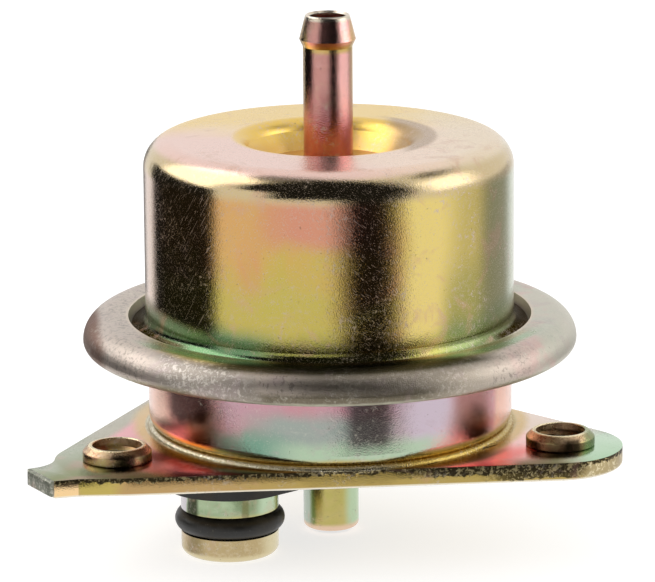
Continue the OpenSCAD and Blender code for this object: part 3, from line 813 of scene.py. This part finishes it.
torn = {"by": "z", "tint": (0.045, 0.034, 0.016), "fleck": (0.42, 0.34, 0.17), "rough": 0.4,
        "grain": 1.0}
cutEdge, tornEdge = ("z", 2.24, 2.16), ("z", 2.29, 2.25)      # limits just below the plate's top
plateLook = {
    "drift": 11,
    "tints": [(0.30, (0.22, 0.26, 0.12)), (0.46, (0.27, 0.29, 0.15)), (0.58, (0.38, 0.29, 0.20)),
              (0.72, (0.25, 0.29, 0.14))],
    "zones": [
        # top
        {"by": "x", "from": 26, "to": 30, "tint": (0.44, 0.62, 0.42), "wander": 3},
        {"by": "radius", "from": 33, "to": 28.5, "tint": (0.80, 0.30, 0.34), "wander": 6,
         "share": 0.9},
        {"by": (-0.904, 0.428, 0), "from": 22.6, "to": 24.2, "tint": (0.28, 0.32, 0.19),
         "wander": 1.6, "share": 0.85},
        {"by": "y", "from": -11, "to": -7, "tint": (0.72, 0.62, 0.48), "wander": 4, "share": 0.8,
         "only": [("x", 20, 24)]},
        {"by": "radius", "from": 31.5, "to": 28.5, "tint": (0.96, 0.56, 0.52), "wander": 4,
         "share": 0.85, "only": [("y", -6, -10), ("x", 14, 18)]},
        {"by": "radius", "from": 30.5, "to": 27.5, "tint": (0.96, 0.17, 0.15), "wander": 3,
         "only": [("y", -12, -17), ("x", 4, 10)]},
        {"by": "radius", "from": 30, "to": 26, "tint": (0.25, 0.055, 0.035), "wander": 4,
         "share": 0.95, "rimLight": 0.45, "only": [("y", -8, -13), ("x", -6, -12)]},
        # around the housing, and the bead
        {"by": "radius", "from": 25.3, "to": 23.8, "tint": (0.58, 0.36, 0.07), "wander": 1.4,
         "share": 0.9},
        {"by": "radius", "from": 26.0, "to": 25.0, "tint": (0.24, 0.14, 0.07), "wander": 1.6,
         "share": 0.8, "rimLight": 0.7, "only": [("y", -14, -18)]},
        {"by": "radius", "from": 23.2, "to": 22.8, "tint": (0.54, 0.47, 0.31), "grain": 1.0,
         "rough": 0.24, "fleck": (0.72, 0.66, 0.50)},
        {"by": "x", "from": 2, "to": 9, "tint": (0.50, 0.34, 0.07), "share": 0.9, "wander": 4,
         "only": [("radius", 23.4, 22.9)]},
        # cut edge
        {"by": "z", "from": 2.24, "to": 2.16, "tint": (0.45, 0.33, 0.10)},
        {"by": "x", "from": -4, "to": -20, "tint": (0.50, 0.33, 0.14), "wander": 12,
         "only": [cutEdge]},
        {"by": "x", "from": -26.5, "to": -28.5, "tint": (0.54, 0.44, 0.11), "wander": 3,
         "share": 0.8, "only": [cutEdge]},
        {"by": tongueWay, "from": 38.5, "to": 38.64, "tint": (0.92, 0.64, 0.33), "only": [cutEdge]},
        {"by": "x", "from": 27, "to": 29.5, "tint": (0.48, 0.38, 0.20), "fleck": (0.78, 0.68, 0.44),
         "rough": 0.3, "grain": 1.0, "wander": 3, "swaySize": 2, "only": [cutEdge]},
        # painted highlight along the rolled-over bottom edge
        {"by": "z", "from": 0.42, "to": 0.16, "tint": (0.88, 0.82, 0.68),
         "only": [("z", 0.01, 0.03)]},
        # torn band, wider towards the right
        {**torn, "from": 1.72, "to": 1.84, "wander": 1.6, "swaySize": 0.8, "only": [tornEdge]},
        {**torn, "from": 1.05, "to": 1.20, "wander": 1.6, "swaySize": 0.9,
         "only": [tornEdge, ("x", 5, 11), ("x", 29.5, 27)]},
        {**torn, "from": 0.35, "to": 0.50, "wander": 1.4, "swaySize": 0.9, "share": 0.9,
         "only": [tornEdge, ("x", 15, 20), ("x", 29.5, 27)]},
        # tongue's end
        {"by": tongueWay, "from": 41.40, "to": 41.52, "tint": (0.22, 0.23, 0.18),
         "fleck": (0.56, 0.54, 0.46), "rough": 0.45, "grain": 1.0},
    ],
    "cloudTint": (0.58, 0.32, 0.26),
    "worn": 0.4,
    "roughness": (0.10, 0.17),
    "grain": 0.3,
}
mountingPlate = makePlate()
mountingPlate.data.materials.append(zincCoat("platePlating", plateLook))
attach(mountingPlate, "housing")
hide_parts("base_plate")
print("mounting plate done:", len(mountingPlate.data.polygons), "faces")


# threaded bushes: one is drawn up from a ring, gets its thread, and is copied to the other corners

bush = {
    "outside": 4.2,
    "shank": 3.7,
    "height": 4.15,
    "chamfer": 0.75,
    "foot": 0.15,           # broken edge at the plate
    "edgeRound": (0.12, 3),     # of the chamfer's two edges: size and steps
    "root": 3.0,            # thread's outer radius
    "core": 2.5,
    "pitch": 1.0,
    "leadIn": 0.08,
    "sides": 72,
    "wedge": 0.44,          # half the thread's width in the wall, as a share of the pitch
    "crest": 0.14,          # and at its crest, as a share of that
    "sunk": 0.05,           # how far the thread reaches into the wall
    "threadSteps": 48,      # for each turn
    "runOut": 10,           # steps in which the thread's ends fade into the wall
    "faded": 0.08,          # what stands of the thread at its very end
    "smoothAngle": 35,
}


def pullRing(fromR, toR, rise):
    bpy.ops.mesh.extrude_region_move(TRANSFORM_OT_translate={"value": (0, 0, rise * mm)})
    if toR != fromR:
        bpy.ops.transform.resize(value=(toR / fromR, toR / fromR, 1), center_override=(0, 0, 0))


def makeBush():
    outside, top, low = bush["outside"], bush["height"], plate["thickness"]
    mouth, shoulder = bush["root"] + bush["leadIn"], bush["outside"] - bush["chamfer"]
    rings = [
        (mouth, 0), (bush["shank"], 0), (bush["shank"], low),
        (outside - bush["foot"], low), (outside, low + bush["foot"]),
        (outside, top - bush["chamfer"]), (shoulder, top), (mouth, top),
        (bush["root"], top - bush["leadIn"]), (bush["root"], bush["leadIn"]), (mouth, 0),
    ]
    clearSelection()
    bpy.ops.mesh.primitive_circle_add(vertices=bush["sides"], radius=mouth * mm, location=(0, 0, 0))
    piece = bpy.context.object
    piece.name = "threadedBushes"
    editAll(piece)
    for (r0, z0), (r1, z1) in zip(rings, rings[1:]):
        pullRing(r0, r1, z1 - z0)
    bpy.ops.mesh.select_all(action="SELECT")
    bpy.ops.mesh.remove_doubles(threshold=weld)
    bpy.ops.mesh.normals_make_consistent(inside=False)
    objectMode()
    # the chamfer's two edges are broken a little
    selectEdges(piece, lambda a, b: abs(a.z - b.z) < weld and all(
        p.z > (low + 2 * bush["foot"]) * mm and p.xy.length > shoulder * mm - weld for p in (a, b)))
    size, steps = bush["edgeRound"]
    bpy.ops.mesh.bevel(offset=size * mm, segments=steps, affect="EDGES")
    objectMode()
    return piece


def fadeEnds(thread, wall, corners, steps):
    # both ends of the thread run out into the wall
    for index, point in enumerate(thread.data.vertices):
        step = index // corners
        depth = min(1, step / bush["runOut"], (steps - step) / bush["runOut"])
        r = point.co.xy.length
        if r < wall:
            point.co.xy *= (wall - (wall - r) * max(depth, bush["faded"])) / r


def makeThread():
    # a small wedge wound up inside the bore
    half = bush["pitch"] * bush["wedge"]
    turns = (bush["height"] - 2 * bush["leadIn"] - 2 * half) / bush["pitch"]
    steps = int(bush["threadSteps"] * turns)
    wall, core, crest = bush["root"] + bush["sunk"], bush["core"], half * bush["crest"]
    wedge = [(wall, 0), (core, half - crest), (core, half + crest), (wall, 2 * half)]
    clearSelection()
    bpy.ops.mesh.primitive_circle_add(vertices=len(wedge), radius=half * mm, location=(0, 0, 0))
    thread = bpy.context.object
    for point, (r, z) in zip(thread.data.vertices, wedge):
        point.co = (r * mm, 0, (bush["leadIn"] + z) * mm)
    wind = thread.modifiers.new("wind", "SCREW")
    wind.axis = "Z"
    wind.angle = math.radians(360 * turns)
    wind.screw_offset = bush["pitch"] * turns * mm
    wind.steps = wind.render_steps = steps
    wind.use_normal_calculate = True
    wind.use_merge_vertices = False
    pick(thread)
    bpy.ops.object.modifier_apply(modifier="wind")
    fadeEnds(thread, wall * mm, len(wedge), steps)
    # the open ends are closed
    editAll(thread)
    bpy.ops.mesh.select_mode(type="EDGE")
    bpy.ops.mesh.select_all(action="DESELECT")
    bpy.ops.mesh.select_non_manifold()
    bpy.ops.mesh.edge_face_add()
    objectMode()
    turnOutwards(thread)
    return thread


def makeBushes():
    first, thread = makeBush(), makeThread()
    pick(first, thread)
    bpy.ops.object.join()
    smooth(first, bush["smoothAngle"])
    copies = [first] + [copyMesh(first, "bushCopy") for corner in plate["bushes"][1:]]
    for piece, (x, y) in zip(copies, plate["bushes"]):
        editAll(piece)
        bpy.ops.transform.translate(value=(x * mm, y * mm, 0))
        objectMode()
    pick(*copies)
    bpy.ops.object.join()
    return first


bushLook = {
    "drift": 4,
    "tints": [(0.34, (0.54, 0.46, 0.20)), (0.46, (0.62, 0.48, 0.22)), (0.56, (0.50, 0.26, 0.15)),
              (0.68, (0.38, 0.44, 0.20))],
    "zones": [
        # chamfer, lip and foot
        {"by": "z", "from": 3.25, "to": 3.6, "tint": (0.64, 0.44, 0.27), "wander": 0.5,
         "swaySize": 2, "share": 0.8, "grain": 1.0, "fleck": (0.42, 0.25, 0.15)},
        {"by": "z", "from": 4.04, "to": 4.12, "tint": (0.90, 0.76, 0.48), "rough": 0.2},
        {"by": "z", "from": 2.75, "to": 2.45, "tint": (0.16, 0.13, 0.05), "wander": 0.3,
         "swaySize": 2, "share": 0.7},
        {"by": "x", "from": 20, "to": 22, "tint": (0.10, 0.06, 0.03), "share": 0.85,
         "only": [("z", 3.5, 3.2)]},
        # painted dark reflection: a streak on the front of two bushes
        *[{"by": "x", "from": low, "to": full, "tint": (0.035, 0.022, 0.012), "share": 0.9,
           "wander": 1.2, "swaySize": 1,
           "only": [("x", *end), ("y", -15.6, -16.4), ("z", 3.95, 3.55)]}
          for low, full, end in ((26.4, 27.2, (29.0, 28.4)), (-28.6, -27.6, (-25.1, -25.7)))],
        # green on the far right
        {"by": "x", "from": 28.9, "to": 30, "tint": (0.18, 0.27, 0.11), "share": 0.8, "wander": 1},
    ],
    "clouds": 0.45,
    "cloudSize": 2,
    "cloudTint": (0.30, 0.12, 0.10),
    "worn": 0.6,
    "pits": 0.8,
    "roughness": (0.24, 0.38),
    "grain": 0.7,
    "wave": 0,
    "rings": 0.5,
}
threadedBushes = makeBushes()
threadedBushes.data.materials.append(zincCoat("bushPlating", bushLook))
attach(threadedBushes, "housing")
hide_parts("threaded_bushes")
print("bushes done:", len(threadedBushes.data.polygons), "faces")


# main spring: the node's wire, copied and smoothed

spring = {"seat": 37.45, "foot": 15.19, "lift": 1.0, "smoothAngle": 60}
springCoil = copyNode("main_spring", "springCoil")
smooth(springCoil, spring["smoothAngle"])
springCoil.data.materials.append(springWire)
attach(springCoil, "housing")
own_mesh(springCoil)
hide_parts("main_spring")
print("spring done:", len(springCoil.data.polygons), "faces")

# diaphragm: cut into sectors, each of which stretches from the valve out to the rim

diaphragm = {
    "sectors": 6,
    "held": 16.1,       # mm along the sector's middle: inside this it goes with the valve
    "clamped": 18.6,    # outside this it stays in the rim
    "level": 13.35,
    "cutSlack": 0.0005,
    "smoothAngle": 40,
}


def cutSector(index):
    piece = copyNode("diaphragm", f"diaphragmSector{index + 1}")
    share = 2 * math.pi / diaphragm["sectors"]
    for side in (-1, 1):
        border = (index + side / 2) * share
        away = (-math.sin(border) * side, math.cos(border) * side, 0)
        editAll(piece)
        bpy.ops.mesh.bisect(plane_co=(0, 0, 0), plane_no=away, use_fill=True, clear_outer=True,
                            threshold=diaphragm["cutSlack"] * mm)
        objectMode()
    turnOutwards(piece)
    smooth(piece, diaphragm["smoothAngle"])
    piece.data.materials.append(sealRubber)
    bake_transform(piece)
    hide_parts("diaphragm")


for index in range(diaphragm["sectors"]):
    cutSector(index)
print("diaphragm done in", diaphragm["sectors"], "sectors")


# floor, light and the flags that the plating mirrors

studio = {
    "floor": -11.52,        # mm, just under the spigot's end
    "floorSize": 6,         # m
    "floorTone": 0.50,
    "floorLift": 0.70,      # glow that only the camera sees
    "worldFill": 0.8,
    "sheet": (90, 96),      # white sheet that the metal mirrors below: radius in mm, sides
    "flagReach": 0.9,       # m
    "flagSteps": (240, 90),     # around and up
    # tone, then patches: from and to in azimuth, right of the camera, and in height, in degrees
    "flags": {
        "blackFlags": (0.015, [(-140, -74, -70, 14), (9, 41, -70, 2), (4, 50, 2, 16),
                               (0, 55, 16, 84), (-38, 4, 8, 30), (-64, 58, 30, 90),
                               (88, 128, 50, 60)]),
        "greyFlags": (0.55, [(108, 150, -70, 2), (6, 9, -70, 2), (41, 44, -70, 2)]),
        "dimFlags": (0.25, [(-172, -160, -40, 2), (-150, -64, 66, 90)]),
    },
    "lampReach": 0.8,       # m
    "lampAim": 0.02,        # height that they look at, m
    "lamps": [              # azimuth, height, size in m, radiance
        ("keyLamp", -105, 40, 0.7, 1.4),
        ("sideLamp", 85, 25, 0.5, 1.3),
    ],
}


def emptyFinish(name):
    finish = bpy.data.materials.new(name)
    finish.use_nodes = True
    finish.node_tree.nodes.clear()
    return finish, finish.node_tree


def glowMaterial(name, tone):
    finish, tree = emptyFinish(name)
    glow = put(tree, "ShaderNodeEmission", {"Color": (tone, tone, tone, 1), "Strength": 1})
    put(tree, "ShaderNodeOutputMaterial", {0: glow.outputs[0]})
    return finish


def mirroredOnly(card, tone):
    # seen in the metal, and in nothing else
    card.data.materials.append(glowMaterial(card.name + "Tone", tone))
    card.visible_camera = card.visible_diffuse = False
    card.visible_shadow = card.visible_transmission = False


def addFlags(name, tone, patches):
    # patches of a dome around the part
    clearSelection()
    around, up = studio["flagSteps"]
    bpy.ops.mesh.primitive_uv_sphere_add(
        segments=around, ring_count=up, radius=studio["flagReach"], location=(0, 0, 0))
    dome = bpy.context.object
    dome.name = name
    startPicking(dome, "FACE")
    for face in dome.data.polygons:
        x, y, z = face.center.normalized()
        azimuth = (math.degrees(math.atan2(x, -y)) - view["turn"] + 180) % 360 - 180
        height = math.degrees(math.asin(z))
        face.select = not any(left <= azimuth <= right and low <= height <= high
                              for left, right, low, high in patches)
    editMode()
    bpy.ops.mesh.delete(type="FACE")
    objectMode()
    mirroredOnly(dome, tone)


def addSheet():
    clearSelection()
    radius, sides = studio["sheet"]
    bpy.ops.mesh.primitive_circle_add(
        vertices=sides, radius=radius * mm, fill_type="NGON", location=(0, 0, studio["floor"] * mm))
    sheet = bpy.context.object
    sheet.name = "whiteSheet"
    mirroredOnly(sheet, 1)


def addLamp(name, azimuth, height, size, radiance):
    out = outwards(math.radians(azimuth + view["turn"]), math.radians(height)) * studio["lampReach"]
    clearSelection()
    bpy.ops.object.light_add(type="AREA", location=out + Vector((0, 0, studio["lampAim"])))
    lamp = bpy.context.object
    lamp.name = name
    lamp.rotation_euler = out.to_track_quat("Z", "Y").to_euler()
    lamp.data.size = size
    lamp.data.energy = radiance * math.pi * size * size


def addFloor():
    clearSelection()
    bpy.ops.mesh.primitive_plane_add(
        size=studio["floorSize"], location=(0, 0, studio["floor"] * mm))
    floor = bpy.context.object
    floor.name = "studioFloor"
    finish, tree = emptyFinish("paleFloor")
    tone = studio["floorTone"]
    matt = put(tree, "ShaderNodeBsdfDiffuse", {"Color": (tone, tone, tone, 1)})
    ray = put(tree, "ShaderNodeLightPath")
    lift = calc(tree, "MULTIPLY", ray.outputs["Is Camera Ray"], studio["floorLift"])
    glow = put(tree, "ShaderNodeEmission", {"Strength": lift})
    both = put(tree, "ShaderNodeAddShader", {0: matt.outputs[0], 1: glow.outputs[0]})
    put(tree, "ShaderNodeOutputMaterial", {0: both.outputs[0]})
    floor.data.materials.append(finish)
    floor.visible_glossy = False


def setWorld():
    world = bpy.data.worlds.new("studioWorld")
    bpy.context.scene.world = world
    world.use_nodes = True
    tree = world.node_tree
    tree.nodes.clear()
    ray = put(tree, "ShaderNodeLightPath")
    seen = calc(tree, "MAXIMUM", ray.outputs["Is Camera Ray"], ray.outputs["Is Glossy Ray"])
    seen = calc(tree, "MAXIMUM", seen, ray.outputs["Is Transmission Ray"])
    strength = span(tree, seen, 0, 1, studio["worldFill"], 1)
    back = put(tree, "ShaderNodeBackground", {"Color": (1, 1, 1, 1), "Strength": strength})
    put(tree, "ShaderNodeOutputWorld", {0: back.outputs[0]})


setWorld()
addFloor()
addSheet()
for name, (tone, patches) in studio["flags"].items():
    addFlags(name, tone, patches)
for lamp in studio["lamps"]:
    addLamp(*lamp)
print("studio set")
